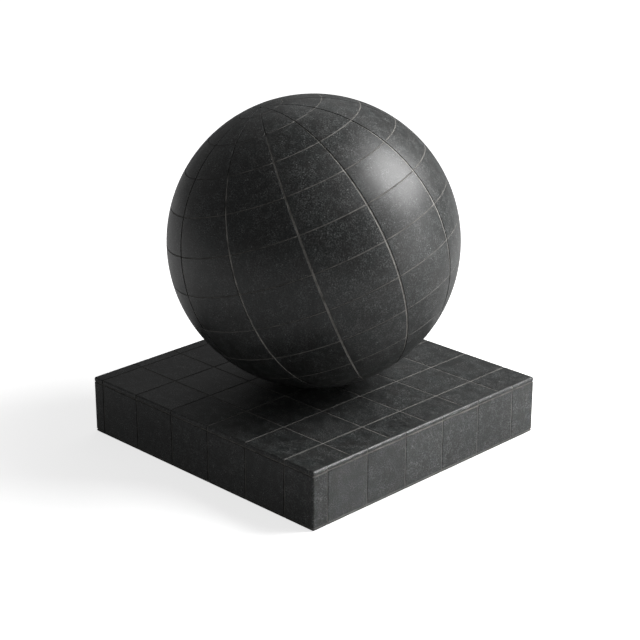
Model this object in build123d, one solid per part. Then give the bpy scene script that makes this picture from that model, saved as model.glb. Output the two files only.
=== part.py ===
"""A floor tile finish shown in the round: a ball standing on a square plinth.

Both bodies are one piece each. Their faces carry the same grid of square tiles,
parted by sunk joints. On the ball the grid runs along meridians and parallels
about a leaning pole. Millimetres, +Z up, origin under the middle of the plinth.
"""

from math import radians
import os

from build123d import *

# Tile module, as laid on the plinth
TILE = 97.0
JOINT = 3.0
PITCH = TILE + JOINT
JOINT_DEPTH = 0.8

# Plinth
PLINTH_SIDE = 600.0
PLINTH_HEIGHT = 114.0
EDGE_RADIUS = 4.0
TOP_JOINT_DROP = 9.2       # plinth top down to the middle of the upper joint on its sides
JOINT_X_START = 27.5       # any one joint that crosses the top and runs down front and back
JOINT_Y_START = -3.4       # any one joint that crosses the top from side to side
SIDE_JOINT_START = 35.2    # any one upright joint on the left and right sides

# Ball
BALL_DIAMETER = 550.0
MERIDIAN_DEPTH = 1.2       # the joints from pole to pole are sunk deeper than the rings
SEAT_DIAMETER = 30.0       # flat ground on the underside, where it stands
GORES = 12                 # tiles around the ball
COURSES = 12               # tiles from pole to pole
POLE_LEAN = 20.7           # degrees from upright
POLE_HEADING = 226.0       # degrees from +X, the way the pole leans
MERIDIAN_START = 1.3       # degrees from the horizontal across the lean to one joint
PARALLEL_START = 6.25      # degrees above the ball's own equator to one joint

HALF_SIDE = PLINTH_SIDE / 2
BALL_RADIUS = BALL_DIAMETER / 2
JOINT_SHARE = JOINT / PITCH
CLEAR = 1.0                # how far a cutter stands out of the face that it cuts


def joint_places(start, reach):
    """Joint positions at every pitch through start, no further out than reach."""
    first = start - PITCH * ((start + reach) // PITCH)
    count = int((reach - first) // PITCH) + 1
    return [first + PITCH * step for step in range(count)]


def slot(low, high):
    """A box between two corners."""
    size = [b - a for a, b in zip(low, high)]
    middle = [(a + b) / 2 for a, b in zip(low, high)]
    return Pos(*middle) * Box(*size)


def make_plinth():
    """Square block with eased edges and a tile grid on its top and four sides."""
    block = Pos(0, 0, PLINTH_HEIGHT / 2) * Box(PLINTH_SIDE, PLINTH_SIDE, PLINTH_HEIGHT)
    block = fillet(block.edges(), EDGE_RADIUS)

    # The floor of the joints is the same block drawn in at its top and sides, and left long below
    floor = HALF_SIDE - JOINT_DEPTH
    core = slot((-floor, -floor, -EDGE_RADIUS), (floor, floor, PLINTH_HEIGHT - JOINT_DEPTH))
    eased = core.edges().filter_by(Axis.Z) + core.faces().sort_by(Axis.Z)[-1].edges()
    core = fillet(eased, EDGE_RADIUS - JOINT_DEPTH)

    out = HALF_SIDE + CLEAR
    top = PLINTH_HEIGHT + CLEAR
    flat = HALF_SIDE - EDGE_RADIUS
    half = JOINT / 2
    slabs = []
    for x in joint_places(JOINT_X_START, flat - half):
        slabs.append(slot((x - half, -out, -CLEAR), (x + half, out, top)))
    for y in joint_places(JOINT_Y_START, flat - half):
        slabs.append(slot((-flat, y - half, PLINTH_HEIGHT / 2), (flat, y + half, top)))
    for y in joint_places(SIDE_JOINT_START, flat - half):
        for near, far in ((-out, -flat), (flat, out)):
            slabs.append(slot((near, y - half, -CLEAR), (far, y + half, top)))
    upper_joint = PLINTH_HEIGHT - TOP_JOINT_DROP
    for z in (upper_joint, upper_joint - PITCH):
        slabs.append(slot((-out, -out, z - half), (out, out, z + half)))
    return block - [slab - core for slab in slabs]


def make_ball():
    """Ball with a leaning grid of tiles and a small flat to stand on."""
    floor_radius = BALL_RADIUS - MERIDIAN_DEPTH
    gore_angle = 360 / GORES
    course_angle = 180 / COURSES
    latitudes = [PARALLEL_START + course_angle * (course - COURSES // 2) for course in range(COURSES)]
    cutters = []

    for latitude in latitudes:
        width = BALL_RADIUS * radians(course_angle * JOINT_SHARE)
        place = Rot(0, 0, latitude) * Pos(BALL_RADIUS, 0)
        section = Plane.XZ * place * Rectangle(2 * JOINT_DEPTH, width)
        cutters.append(revolve(section, Axis.Z))

    # A meridian joint is a crescent between the outermost parallels, turned through the joint's angle
    first, span = latitudes[0], latitudes[-1] - latitudes[0]
    outer, inner = [CenterArc((0, 0), radius, first, span) for radius in (BALL_RADIUS + CLEAR, floor_radius)]
    ends = [Line(outer @ end, inner @ end) for end in (0, 1)]
    crescent = make_face([outer, inner, *ends])
    joint_angle = gore_angle * JOINT_SHARE
    wedge = revolve(Plane.XZ * crescent, Axis.Z, revolution_arc=joint_angle)
    for gore in range(GORES):
        turn = MERIDIAN_START + gore * gore_angle - joint_angle / 2
        cutters.append(Rot(0, 0, turn) * wedge)

    ball = Sphere(BALL_RADIUS) - cutters
    leaning = Rot(0, 0, POLE_HEADING) * Rot(0, POLE_LEAN, 0) * Rot(0, 0, 90) * ball
    drop = (BALL_RADIUS**2 - (SEAT_DIAMETER / 2) ** 2) ** 0.5
    standing = Pos(0, 0, PLINTH_HEIGHT + drop) * leaning
    above = slot(
        (-BALL_DIAMETER, -BALL_DIAMETER, PLINTH_HEIGHT),
        (BALL_DIAMETER, BALL_DIAMETER, PLINTH_HEIGHT + 2 * BALL_DIAMETER),
    )
    return standing & above


def main():
    os.makedirs("parts", exist_ok=True)
    export_step(make_plinth(), "parts/plinth.step")
    export_step(make_ball(), "parts/ball.step")


main()
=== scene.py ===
import math
import random

import bmesh
import bpy
from mathutils import Matrix, Vector


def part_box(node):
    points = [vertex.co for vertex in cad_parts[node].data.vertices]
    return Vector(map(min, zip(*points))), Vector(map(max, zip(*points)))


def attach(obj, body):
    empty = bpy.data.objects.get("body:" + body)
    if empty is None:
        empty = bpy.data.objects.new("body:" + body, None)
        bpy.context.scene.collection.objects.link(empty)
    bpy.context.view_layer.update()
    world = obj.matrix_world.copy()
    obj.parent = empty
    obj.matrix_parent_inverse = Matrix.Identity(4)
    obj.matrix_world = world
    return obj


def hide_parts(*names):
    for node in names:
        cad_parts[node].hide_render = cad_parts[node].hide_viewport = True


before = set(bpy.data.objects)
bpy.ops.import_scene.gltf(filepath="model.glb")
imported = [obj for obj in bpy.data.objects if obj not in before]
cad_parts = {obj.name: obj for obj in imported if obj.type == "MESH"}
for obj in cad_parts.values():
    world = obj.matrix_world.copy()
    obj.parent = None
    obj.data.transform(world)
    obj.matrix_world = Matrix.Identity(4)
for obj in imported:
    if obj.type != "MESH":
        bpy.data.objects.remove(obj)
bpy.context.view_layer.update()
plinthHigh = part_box("plinth")[1]
ballLow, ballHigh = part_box("ball")
plinthTop = plinthHigh.z
print("frame loaded, nodes", sorted(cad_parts))

# the tile grid, in metres, the same on both bodies
grid = {
    "pitch": 0.100,        # tile and joint
    "joint": 0.003,
    "tileThickness": 0.003,
    "rimBevel": 0.0004,    # eased rim of each tile
    "rimSegments": 2,
    "patternShift": 3.0,   # the furthest that a tile's stone pattern is moved
}


def newPiece(name, bm, material):
    mesh = bpy.data.meshes.new(name)
    bmesh.ops.recalc_face_normals(bm, faces=bm.faces[:])
    for face in bm.faces:
        face.smooth = True
    bm.to_mesh(mesh)
    bm.free()
    mesh.materials.append(material)
    piece = bpy.data.objects.new(name, mesh)
    bpy.context.scene.collection.objects.link(piece)
    return piece


def flattenShading(piece):
    # keeps the broad faces flat up to their eased rims
    modifier = piece.modifiers.new("flatFaces", "WEIGHTED_NORMAL")
    modifier.mode = "FACE_AREA"
    modifier.keep_sharp = True


def thickenTiles(bm):
    # skin of tile faces -> closed slabs with eased rims
    rims = [edge for edge in bm.edges if edge.is_boundary]
    bmesh.ops.solidify(bm, geom=bm.faces[:], thickness=grid["tileThickness"])
    bmesh.ops.bevel(bm, geom=rims, offset=grid["rimBevel"], segments=grid["rimSegments"],
                    profile=0.5, affect="EDGES", material=-1)


def tagTiles(bm, tileOf, seed):
    # each tile gets its own tint and polish, and its own place in the stone pattern
    tintLayer = bm.faces.layers.float.new("tileTint")
    polishLayer = bm.faces.layers.float.new("tilePolish")
    shiftLayer = bm.faces.layers.float_vector.new("tileShift")
    reach = grid["patternShift"]
    drawn = {}
    for face in bm.faces:
        key = tileOf(face.calc_center_median())
        if key not in drawn:
            draw = random.Random(f"{seed} {key}")
            tint, polish = draw.random(), draw.random()
            drawn[key] = (tint, polish, Vector([draw.uniform(-reach, reach) for axis in range(3)]))
        face[tintLayer], face[polishLayer], face[shiftLayer] = drawn[key]
    return len(drawn)


# materials

def nodeTree(name):
    material = bpy.data.materials.new(name)
    material.use_nodes = True
    tree = material.node_tree
    shader = tree.nodes["Principled BSDF"]
    return material, tree, shader


def addNode(tree, kind, values=None, **settings):
    node = tree.nodes.new(kind)
    for key, value in settings.items():
        setattr(node, key, value)
    for key, value in (values or {}).items():
        node.inputs[key].default_value = value
    return node


def ramp(tree, source, span, colours):
    node = addNode(tree, "ShaderNodeValToRGB")
    for element, place, colour in zip(node.color_ramp.elements, span, colours):
        element.position = place
        element.color = (*colour, 1.0) if isinstance(colour, tuple) else (colour, colour, colour, 1.0)
    tree.links.new(source, node.inputs["Fac"])
    return node.outputs["Color"]


def feed(tree, socket, value):
    if isinstance(value, bpy.types.NodeSocket):
        tree.links.new(value, socket)
    elif isinstance(value, tuple):
        socket.default_value = (*value, 1.0)
    else:
        socket.default_value = value


def mixColour(tree, blend, factor, first, second):
    node = addNode(tree, "ShaderNodeMix", data_type="RGBA", blend_type=blend)
    for index, value in ((0, factor), (6, first), (7, second)):  # 6 and 7 are its colours
        feed(tree, node.inputs[index], value)
    return node.outputs[2]


def calc(tree, operation, first, second):
    node = addNode(tree, "ShaderNodeMath", operation=operation)
    feed(tree, node.inputs[0], first)
    feed(tree, node.inputs[1], second)
    return node.outputs[0]


def noise(tree, spot, scale, detail, rough):
    node = addNode(tree, "ShaderNodeTexNoise", {"Scale": scale, "Detail": detail, "Roughness": rough})
    tree.links.new(spot, node.inputs["Vector"])
    return node.outputs


def addBump(tree, shader, height, strength, depth):
    node = addNode(tree, "ShaderNodeBump", {"Strength": strength, "Distance": depth})
    tree.links.new(height, node.inputs["Height"])
    tree.links.new(node.outputs[0], shader.inputs["Normal"])


# a noise is its scale, detail and roughness, a span the values that a ramp runs between
tileLook = {
    "dark": (0.0095, 0.0100, 0.0100),
    "pale": (0.034, 0.036, 0.0355),
    "cool": (0.88, 1.04, 1.02),
    "warm": (1.13, 0.98, 0.94),
    "tintSpread": (0.72, 1.25),        # the darkest tile and the lightest
    "cloudNoise": (30.0, 9.0, 0.68),   # clouds about 3 cm across
    "cloudSpan": (0.30, 0.74),
    "hueSpan": (0.36, 0.64),
    "fleck": (0.175, 0.184, 0.182),
    "fleckNoise": (420.0, 4.0, 0.62),  # flecks 2 to 3 mm across, in drifts
    "fleckSpan": (0.45, 0.75),
    "driftNoise": (55.0, 3.0, 0.55),
    "driftSpan": (0.38, 0.62),
    "driftLeast": 0.32,                # share of the flecks that is left between the drifts
    "streak": (0.075, 0.078, 0.077),
    "streakStretch": (22.0, 170.0, 170.0),
    "streakTurn": (0.3, 0.5, 0.9),     # radians
    "streakNoise": (1.0, 3.0, 0.6),
    "streakSpan": (0.60, 0.72),
    "streakMost": 0.6,
    "speck": (0.34, 0.35, 0.345),
    "speckScale": 360.0,               # specks 1 to 2 mm across
    "speckSpan": (0.20, 0.40),
    "speckPick": (0.84, 1.0),          # only the cells drawn above this have one
    "speckMost": 0.9,
    "roughLow": 0.36,
    "roughHigh": 0.48,
    "polishSpread": 0.12,              # from the glossiest tile to the mattest
    "specular": 0.5,
    "grainNoise": (1500.0, 2.0, 0.5),
    "grainShare": 0.35,                # of the grain in the bump, beside the clouds
    "bumpStrength": 0.35,
    "bumpDepth": 0.0004,
}


def makeTile(name, look, tone):
    material, tree, shader = nodeTree(name)
    link = tree.links.new
    place = addNode(tree, "ShaderNodeTexCoord").outputs["Object"]
    shift = addNode(tree, "ShaderNodeAttribute", attribute_name="tileShift").outputs["Vector"]
    tint = addNode(tree, "ShaderNodeAttribute", attribute_name="tileTint").outputs["Fac"]
    polish = addNode(tree, "ShaderNodeAttribute", attribute_name="tilePolish").outputs["Fac"]
    moved = addNode(tree, "ShaderNodeVectorMath", operation="ADD")
    link(place, moved.inputs[0])
    link(shift, moved.inputs[1])
    spot = moved.outputs[0]

    # charcoal clouds, warmer and cooler, and each tile a little lighter or darker
    clouds = noise(tree, spot, *look["cloudNoise"])
    colour = ramp(tree, clouds["Fac"], look["cloudSpan"], (look["dark"], look["pale"]))
    hues = addNode(tree, "ShaderNodeSeparateColor")
    link(clouds["Color"], hues.inputs[0])
    warmth = ramp(tree, hues.outputs[1], look["hueSpan"], (look["cool"], look["warm"]))
    colour = mixColour(tree, "MULTIPLY", 1.0, colour, warmth)
    tints = ramp(tree, tint, (0.0, 1.0), [share * tone for share in look["tintSpread"]])
    colour = mixColour(tree, "MULTIPLY", 1.0, colour, tints)

    # drifts of small pale flecks
    fleckNoise = noise(tree, spot, *look["fleckNoise"])["Fac"]
    flecks = ramp(tree, fleckNoise, look["fleckSpan"], (0.0, 1.0))
    driftNoise = noise(tree, spot, *look["driftNoise"])["Fac"]
    drifts = ramp(tree, driftNoise, look["driftSpan"], (look["driftLeast"], 1.0))
    colour = mixColour(tree, "MIX", calc(tree, "MULTIPLY", flecks, drifts), colour, look["fleck"])

    # fine streaks
    stretch = addNode(tree, "ShaderNodeMapping", {
        "Scale": look["streakStretch"], "Rotation": look["streakTurn"],
    })
    link(spot, stretch.inputs["Vector"])
    streakNoise = noise(tree, stretch.outputs[0], *look["streakNoise"])["Fac"]
    streaks = ramp(tree, streakNoise, look["streakSpan"], (0.0, look["streakMost"]))
    colour = mixColour(tree, "MIX", calc(tree, "MULTIPLY", streaks, drifts), colour, look["streak"])

    # bright specks, in some cells only
    cells = addNode(tree, "ShaderNodeTexVoronoi", {"Scale": look["speckScale"], "Randomness": 1.0})
    link(spot, cells.inputs["Vector"])
    speckSize = ramp(tree, cells.outputs["Distance"], look["speckSpan"], (1.0, 0.0))
    chosen = addNode(tree, "ShaderNodeSeparateColor")
    link(cells.outputs["Color"], chosen.inputs[0])
    speckPick = ramp(tree, chosen.outputs[0], look["speckPick"], (0.0, look["speckMost"]))
    speckMask = calc(tree, "MULTIPLY", speckSize, calc(tree, "MULTIPLY", speckPick, drifts))
    colour = mixColour(tree, "MIX", speckMask, colour, look["speck"])
    link(colour, shader.inputs["Base Color"])

    rough = addNode(tree, "ShaderNodeMapRange", {
        "To Min": look["roughLow"], "To Max": look["roughHigh"],
    })
    link(clouds["Fac"], rough.inputs["Value"])
    matt = calc(tree, "MULTIPLY", calc(tree, "SUBTRACT", polish, 0.5), look["polishSpread"])
    link(calc(tree, "ADD", rough.outputs[0], matt), shader.inputs["Roughness"])
    shader.inputs["Specular IOR Level"].default_value = look["specular"]

    grain = calc(tree, "MULTIPLY", noise(tree, spot, *look["grainNoise"])["Fac"], look["grainShare"])
    height = calc(tree, "ADD", grain, clouds["Fac"])
    addBump(tree, shader, height, look["bumpStrength"], look["bumpDepth"])
    return material


groutLook = {
    "dark": (0.22, 0.214, 0.202),
    "pale": (0.51, 0.492, 0.462),
    "cloudNoise": (60.0, 5.0, 0.55),
    "cloudSpan": (0.32, 0.62),
    # dirt in random stretches of joint, and on the ball also painted shade on its side turned away from
    # the lamps
    "dirtAndShade": (0.085, 0.083, 0.080),
    "wornNoise": (13.0, 3.0, 0.55),    # stretches of joint that have gone dark, 5 to 10 cm long
    "wornSpan": (0.23, 0.35),
    "paintedShadeMost": 0.3,                   # taken off the worn noise on the ball's side turned away from the lamps, where the grout is darkened as painted shade
    "rough": 0.92,
    "sandNoise": (1800.0, 2.0, 0.55),
    "sandStrength": 0.6,
    "sandDepth": 0.0005,
}


def makeGrout(name, look, shade, paintedShade=None):
    material, tree, shader = nodeTree(name)
    link = tree.links.new
    spot = addNode(tree, "ShaderNodeTexCoord").outputs["Object"]
    clouds = noise(tree, spot, *look["cloudNoise"])["Fac"]
    colour = ramp(tree, clouds, look["cloudSpan"], (look["dark"], look["pale"]))
    colour = mixColour(tree, "MULTIPLY", 1.0, colour, (shade, shade, shade))
    wearAndShade = noise(tree, spot, *look["wornNoise"])["Fac"]
    if paintedShade:
        # how far the spot lies towards the ball's side turned away from the lamps, where the grout is
        # darkened as painted shade
        towardsPaintedShade = addNode(tree, "ShaderNodeVectorMath", {1: paintedShade["axis"]}, operation="DOT_PRODUCT")
        link(spot, towardsPaintedShade.inputs[0])
        paintedShadeAmount = addNode(tree, "ShaderNodeMapRange", {
            "From Min": paintedShade["start"], "From Max": paintedShade["end"], "To Max": look["paintedShadeMost"],
        })
        link(towardsPaintedShade.outputs["Value"], paintedShadeAmount.inputs["Value"])
        wearAndShade = calc(tree, "SUBTRACT", wearAndShade, paintedShadeAmount.outputs[0])
    # the grout goes to the dirt colour where the wear noise is low (real dirt), and on the ball also
    # towards its side turned away from the lamps (painted shade)
    cleanAndUnshaded = ramp(tree, wearAndShade, look["wornSpan"], (0.0, 1.0))
    link(mixColour(tree, "MIX", cleanAndUnshaded, look["dirtAndShade"], colour), shader.inputs["Base Color"])
    shader.inputs["Roughness"].default_value = look["rough"]
    sand = noise(tree, spot, *look["sandNoise"])["Fac"]
    addBump(tree, shader, sand, look["sandStrength"], look["sandDepth"])
    return material


# plinth

plinth = {
    "edgeRadius": 0.004,
    "edgeSegments": 8,
    "topJointX": 0.0275,       # one joint that crosses the top from front to back
    "topJointY": -0.0034,      # one joint that crosses the top from side to side
    "sideJointY": 0.0352,      # one upright joint on the left and right sides
    "upperJointDrop": 0.0092,  # top down to the upper joint round the sides
    "topJointDepth": 0.0008,   # tile face down to the grout
    "sideJointDepth": 0.0012,
    "cutTolerance": 1e-7,
    "stoneTone": 0.50,         # lightness of the stone between its flecks
    "jointShade": 0.46,        # lightness of the grout
    "seed": 12538,             # draws each tile's tint, polish and pattern
}
plinthStone = makeTile("plinthStone", tileLook, plinth["stoneTone"])
plinthJoint = makeGrout("plinthJoint", groutLook, plinth["jointShade"])
halfSide = plinthHigh.x
flatReach = halfSide - plinth["edgeRadius"]
halfJoint = grid["joint"] / 2


def jointPlaces(start, reach):
    first = start - grid["pitch"] * math.floor((start + reach) / grid["pitch"])
    count = int((reach - first) / grid["pitch"]) + 1
    return [first + grid["pitch"] * step for step in range(count)]


topXs = jointPlaces(plinth["topJointX"], flatReach - halfJoint)
topYs = jointPlaces(plinth["topJointY"], flatReach - halfJoint)
sideYs = jointPlaces(plinth["sideJointY"], flatReach - halfJoint)
upperZ = plinthTop - plinth["upperJointDrop"]
bandZs = [upperZ, upperZ - grid["pitch"]]


def roundedBlock(sideInset, topInset):
    # the plinth with its eased edges, drawn in by the insets
    bm = bmesh.new()
    bmesh.ops.create_cube(bm, size=1.0)
    side = 2 * (halfSide - sideInset)
    bmesh.ops.scale(bm, vec=(side, side, plinthTop - 2 * topInset), verts=bm.verts)
    bmesh.ops.translate(bm, vec=(0, 0, plinthTop / 2), verts=bm.verts)
    bmesh.ops.bevel(bm, geom=bm.edges[:], offset=plinth["edgeRadius"] - topInset,
                    segments=plinth["edgeSegments"], profile=0.5, affect="EDGES", material=-1)
    bm.normal_update()
    return bm


def faceGroup(centre):
    # the rounded edges go with the sides
    if abs(centre.x) > flatReach:
        return "ends"
    if abs(centre.y) > flatReach:
        return "fronts"
    return "top" if centre.z > plinthTop / 2 else "base"


def cutAcross(bm, groups, axis, places):
    normal = Vector([1.0 if index == axis else 0.0 for index in range(3)])
    for place in places:
        for side in (place - halfJoint, place + halfJoint):
            faces = [f for f in bm.faces if faceGroup(f.calc_center_median()) in groups]
            edges = list({e for f in faces for e in f.edges})
            verts = list({v for f in faces for v in f.verts})
            bmesh.ops.bisect_plane(bm, geom=faces + edges + verts, dist=plinth["cutTolerance"],
                                   plane_co=normal * side, plane_no=normal)


def inJoint(centre):
    def near(value, places):
        return any(abs(value - place) < halfJoint for place in places)

    group = faceGroup(centre)
    if group == "top":
        return near(centre.x, topXs) or near(centre.y, topYs)
    if group == "fronts":
        return near(centre.x, topXs) or near(centre.z, bandZs)
    if group == "ends":
        return near(centre.y, sideYs) or near(centre.z, bandZs)
    return False


def plinthTile(centre):
    # the side of the plinth and the cell of its grid
    group = faceGroup(centre)
    side = {"ends": (group, centre.x > 0), "fronts": (group, centre.y > 0)}.get(group, group)
    firsts = {
        "top": (topXs[0], topYs[0], 0.0),
        "fronts": (topXs[0], None, bandZs[1]),
        "ends": (None, sideYs[0], bandZs[1]),
        "base": (None, None, None),
    }[group]
    cell = [0 if first is None else math.floor((value - first) / grid["pitch"])
            for value, first in zip(centre, firsts)]
    return (side, *cell)


skin = roundedBlock(0.0, 0.0)
cutAcross(skin, ("top", "fronts"), 0, topXs)
cutAcross(skin, ("top",), 1, topYs)
cutAcross(skin, ("ends",), 1, sideYs)
cutAcross(skin, ("ends", "fronts"), 2, bandZs)
gaps = [face for face in skin.faces if inJoint(face.calc_center_median())]
bmesh.ops.delete(skin, geom=gaps, context="FACES")
thickenTiles(skin)
for vert in skin.verts:
    # the rim bevel can push the thin strips at the edges past the sides
    vert.co.x, vert.co.y = [max(-halfSide, min(halfSide, value)) for value in vert.co.xy]
plinthCount = tagTiles(skin, plinthTile, plinth["seed"])
plinthTiles = newPiece("plinth_tiles", skin, plinthStone)
flattenShading(plinthTiles)

bed = roundedBlock(plinth["sideJointDepth"], plinth["topJointDepth"])
plinthGrout = newPiece("plinth_grout", bed, plinthJoint)
flattenShading(plinthGrout)
print("plinth made, tiles", plinthCount)

# ball

ball = {
    "gores": 12,              # tiles round the ball
    "courses": 12,            # tiles from pole to pole
    "poleLean": 20.7,         # degrees from upright
    "poleHeading": 226.0,     # degrees from +X
    "meridianStart": 1.3,     # degrees from the horizontal across the lean to one joint
    "parallelStart": 6.25,    # degrees above the ball's own equator to one joint
    "poleStop": 89.4,         # degrees, where the last tiles end at the poles
    "meridianDepth": 0.0014,  # tile face down to the grout
    "ringDepth": 0.0004,
    "stepsAlong": 12,         # mesh steps across a tile, round the ball
    "stepsUp": 6,
    "groutDetail": 7,
    "stoneTone": 0.56,
    "meridianShade": 1.12,    # lightness of the grout from pole to pole
    "ringShade": 0.46,
    "seed": 5,
    # the grout is darkened towards this side, which is turned away from the lamps, as painted shade,
    # from start to end in metres along the axis
    "paintedShade": {"axis": (-0.232, -0.672, 0.697), "start": 0.495, "end": 0.54},
}
ballStone = makeTile("ballStone", tileLook, ball["stoneTone"])
meridianJoint = makeGrout("meridianJoint", groutLook, ball["meridianShade"], ball["paintedShade"])
ringJoint = makeGrout("ringJoint", groutLook, ball["ringShade"], ball["paintedShade"])
ballRadius = (ballHigh.x - ballLow.x) / 2
ballCentre = Vector((0, 0, ballHigh.z - ballRadius))
jointShare = grid["joint"] / grid["pitch"]
gore = 360 / ball["gores"]
course = 180 / ball["courses"]


def latitudeBands():
    # from low to high latitude, the courses of tiles and the rings of grout between them
    half = course * jointShare / 2
    lowest = ball["parallelStart"] - course * (ball["courses"] // 2)
    parallels = [lowest + course * number for number in range(ball["courses"])]
    rings = [(latitude - half, latitude + half) for latitude in parallels]
    lows = [-ball["poleStop"]] + [high for low, high in rings]
    highs = [low for low, high in rings] + [ball["poleStop"]]
    return list(zip(lows, highs)), rings


def ballTile(centre):
    # the gore and the course, on the ball before it leans
    longitude = math.degrees(math.atan2(centre.y, centre.x)) - ball["meridianStart"]
    latitude = math.degrees(math.asin(max(-1, min(1, centre.z / centre.length))))
    return (math.floor(longitude % 360 / gore), math.floor((latitude - ball["parallelStart"]) / course))


def onBall(latitude, longitude, radius):
    up, turn = math.radians(latitude), math.radians(longitude)
    flat = math.cos(up)
    return radius * Vector((flat * math.cos(turn), flat * math.sin(turn), math.sin(up)))


def ballPatches(bands, radius, stepsUp):
    # in every gore, one patch of the ball's skin from each low to its high latitude
    bm = bmesh.new()
    for number in range(ball["gores"]):
        start = ball["meridianStart"] + gore * (number + jointShare / 2)
        for low, high in bands:
            heights = [low + (high - low) * step / stepsUp for step in range(stepsUp + 1)]
            line = [bm.verts.new(onBall(height, start, radius)) for height in heights]
            edges = [bm.edges.new(pair) for pair in zip(line, line[1:])]
            bmesh.ops.spin(bm, geom=line + edges, cent=(0, 0, 0), axis=(0, 0, 1),
                           angle=math.radians(gore * (1 - jointShare)), steps=ball["stepsAlong"])
    bmesh.ops.recalc_face_normals(bm, faces=bm.faces[:])
    for face in bm.faces:
        if face.normal.dot(face.calc_center_median()) < 0:
            face.normal_flip()
    return bm


def standBall(bm):
    lean = (Matrix.Rotation(math.radians(ball["poleHeading"]), 4, "Z")
            @ Matrix.Rotation(math.radians(ball["poleLean"]), 4, "Y")
            @ Matrix.Rotation(math.radians(90), 4, "Z"))
    bmesh.ops.transform(bm, matrix=Matrix.Translation(ballCentre) @ lean, verts=bm.verts)
    for vert in bm.verts:
        # the small flat that it stands on
        vert.co.z = max(vert.co.z, plinthTop)


tileBands, ringBands = latitudeBands()
tiles = ballPatches(tileBands, ballRadius, ball["stepsUp"])
thickenTiles(tiles)
ballCount = tagTiles(tiles, ballTile, ball["seed"])
standBall(tiles)
ballTiles = newPiece("ball_tiles", tiles, ballStone)
flattenShading(ballTiles)

rings = ballPatches(ringBands, ballRadius - ball["ringDepth"], 1)
bmesh.ops.solidify(rings, geom=rings.faces[:], thickness=grid["tileThickness"] - ball["ringDepth"])
standBall(rings)
ballRings = newPiece("ball_rings", rings, ringJoint)
flattenShading(ballRings)

core = bmesh.new()
coreRadius = ballRadius - ball["meridianDepth"]
bmesh.ops.create_icosphere(core, subdivisions=ball["groutDetail"], radius=coreRadius)
standBall(core)
ballGrout = newPiece("ball_grout", core, meridianJoint)
print("ball made, tiles", ballCount)

for piece, node, slot in (
    (plinthTiles, "plinth", "plinth_tile"),
    (plinthGrout, "plinth", "joint_grout"),
    (ballTiles, "ball", "ball_tile"),
    (ballRings, "ball", "joint_grout"),
    (ballGrout, "ball", "joint_grout"),
):
    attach(piece, "root")
    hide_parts(node)

# camera

cameraSet = {
    "azimuth": 45.0,       # degrees from -Y towards +X
    "elevation": 20.88,
    "distance": 3.431,
    "lens": 101.4,         # mm, as the sensor
    "sensorWidth": 36.0,
    "aimHeight": 0.231,
    "aimAside": 0.0117,    # the aim is this far to the right of the object's middle
}


def makeCamera():
    azimuth, elevation = math.radians(cameraSet["azimuth"]), math.radians(cameraSet["elevation"])
    right = Vector((math.cos(azimuth), math.sin(azimuth), 0))
    back = Vector((math.sin(azimuth) * math.cos(elevation), -math.cos(azimuth) * math.cos(elevation),
                   math.sin(elevation)))
    aim = Vector((0, 0, cameraSet["aimHeight"])) + right * cameraSet["aimAside"]
    data = bpy.data.cameras.new("camera")
    data.sensor_width = cameraSet["sensorWidth"]
    data.lens = cameraSet["lens"]
    camera = bpy.data.objects.new("camera", data)
    bpy.context.scene.collection.objects.link(camera)
    camera.location = aim + back * cameraSet["distance"]
    camera.rotation_euler = (-back).to_track_quat("-Z", "Y").to_euler()
    bpy.context.scene.camera = camera


# light and floor

# from the middle of the ball, or from another height, each lamp stands off this way and looks back
lights = {
    "key": {"from": (0.505, 0.58, 0.62), "distance": 1.9, "size": (1.15, 1.15), "power": 52},
    "side": {"from": (0.80, 0.57, 0.06), "distance": 2.4, "size": (1.6, 0.9), "power": 15},
    # a narrow beam along the floor, for the plinth's right side
    "low": {"from": (0.80, 0.57, 0.0), "distance": 2.0, "size": (1.4, 0.10), "power": 0.36,
            "height": 0.06, "spread": 8},
    "back": {"from": (-0.40, 0.60, 0.69), "distance": 2.2, "size": (1.4, 1.0), "power": 2.4},
}
studio = {
    "worldLight": 0.115,  # grey of the room, for light and gloss
    "worldGloss": 0.066,  # share of the way from that grey to white, for gloss
    "floorGrey": 0.34,    # floor as light and gloss see it
    "floorPale": 0.80,    # floor as the camera sees it, under the lamps
    "floorGloss": 0.52,   # white that gloss sees besides, far out
    "nearWhite": 0.725,   # white that the camera sees besides, close to the object
    "nearShine": 0.235,   # share of the floor's gloss that is left close to the object
    "nearReach": 0.45,    # metres out from the middle
    "farReach": 1.15,     # from here on the floor is all white
    "floorSize": 14.0,
}


def makeLamps():
    for name, lamp in lights.items():
        data = bpy.data.lights.new(name, "AREA")
        data.shape = "RECTANGLE"
        data.size, data.size_y = lamp["size"]
        data.energy = lamp["power"]
        data.spread = math.radians(lamp.get("spread", 180))
        obj = bpy.data.objects.new(name, data)
        bpy.context.scene.collection.objects.link(obj)
        away = Vector(lamp["from"]).normalized()
        obj.location = away * lamp["distance"] + Vector((0, 0, lamp.get("height", ballCentre.z)))
        obj.rotation_euler = (-away).to_track_quat("-Z", "Y").to_euler()


def whiteShare(tree, glossShare):
    # white for what is seen straight or through glass, and a share of it for gloss
    path = addNode(tree, "ShaderNodeLightPath")
    gloss = calc(tree, "MULTIPLY", path.outputs["Is Glossy Ray"], glossShare)
    seen = calc(tree, "MAXIMUM", path.outputs["Is Camera Ray"], path.outputs["Is Transmission Ray"])
    return seen, gloss


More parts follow.
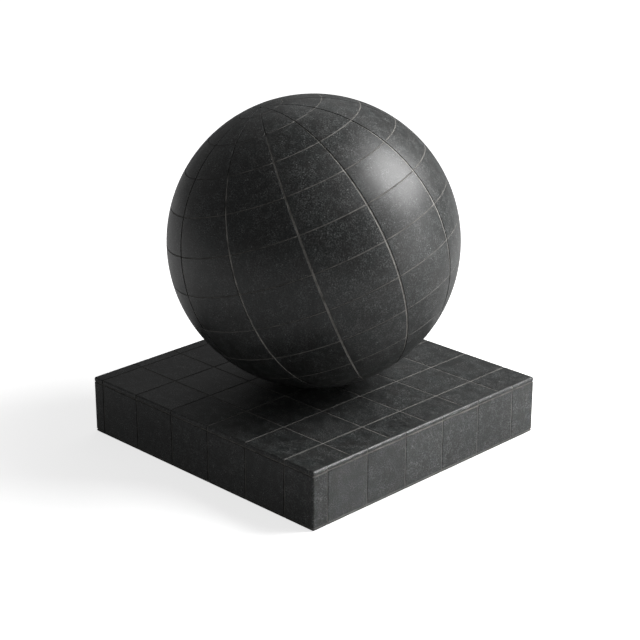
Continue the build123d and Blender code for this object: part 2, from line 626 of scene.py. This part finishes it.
def makeFloor():
    bm = bmesh.new()
    bmesh.ops.create_grid(bm, x_segments=1, y_segments=1, size=studio["floorSize"] / 2)
    material, tree, shader = nodeTree("floorWhite")
    tree.nodes.remove(shader)
    link = tree.links.new
    seen, gloss = whiteShare(tree, studio["floorGloss"])
    place = addNode(tree, "ShaderNodeTexCoord").outputs["Object"]
    away = addNode(tree, "ShaderNodeVectorMath", operation="LENGTH")
    link(place, away.inputs[0])

    def outward(least):
        node = addNode(tree, "ShaderNodeMapRange", {
            "From Min": studio["nearReach"], "From Max": studio["farReach"], "To Min": least,
        }, interpolation_type="SMOOTHSTEP")
        link(away.outputs["Value"], node.inputs["Value"])
        return node.outputs[0]

    white = calc(tree, "MULTIPLY", seen, outward(studio["nearWhite"]))
    shine = calc(tree, "MULTIPLY", gloss, outward(studio["nearShine"]))
    pale = addNode(tree, "ShaderNodeMapRange", {
        "To Min": studio["floorGrey"], "To Max": studio["floorPale"],
    })
    link(seen, pale.inputs["Value"])
    lit = addNode(tree, "ShaderNodeBsdfDiffuse")
    link(pale.outputs[0], lit.inputs["Color"])
    emission = addNode(tree, "ShaderNodeEmission", {"Color": (1, 1, 1, 1)})
    link(calc(tree, "MAXIMUM", white, shine), emission.inputs["Strength"])
    both = addNode(tree, "ShaderNodeAddShader")
    link(lit.outputs[0], both.inputs[0])
    link(emission.outputs[0], both.inputs[1])
    link(both.outputs[0], tree.nodes["Material Output"].inputs["Surface"])
    newPiece("floor", bm, material)


def makeWorld():
    world = bpy.data.worlds.new("studio")
    bpy.context.scene.world = world
    world.use_nodes = True
    tree = world.node_tree
    background = tree.nodes["Background"]
    seen, gloss = whiteShare(tree, studio["worldGloss"])
    strength = addNode(tree, "ShaderNodeMapRange", {"To Min": studio["worldLight"]})
    tree.links.new(calc(tree, "MAXIMUM", seen, gloss), strength.inputs["Value"])
    tree.links.new(strength.outputs[0], background.inputs["Strength"])
    background.inputs["Color"].default_value = (1, 1, 1, 1)


makeCamera()
makeLamps()
makeFloor()
makeWorld()
bpy.context.scene.view_settings.view_transform = "Standard"
print("studio made")
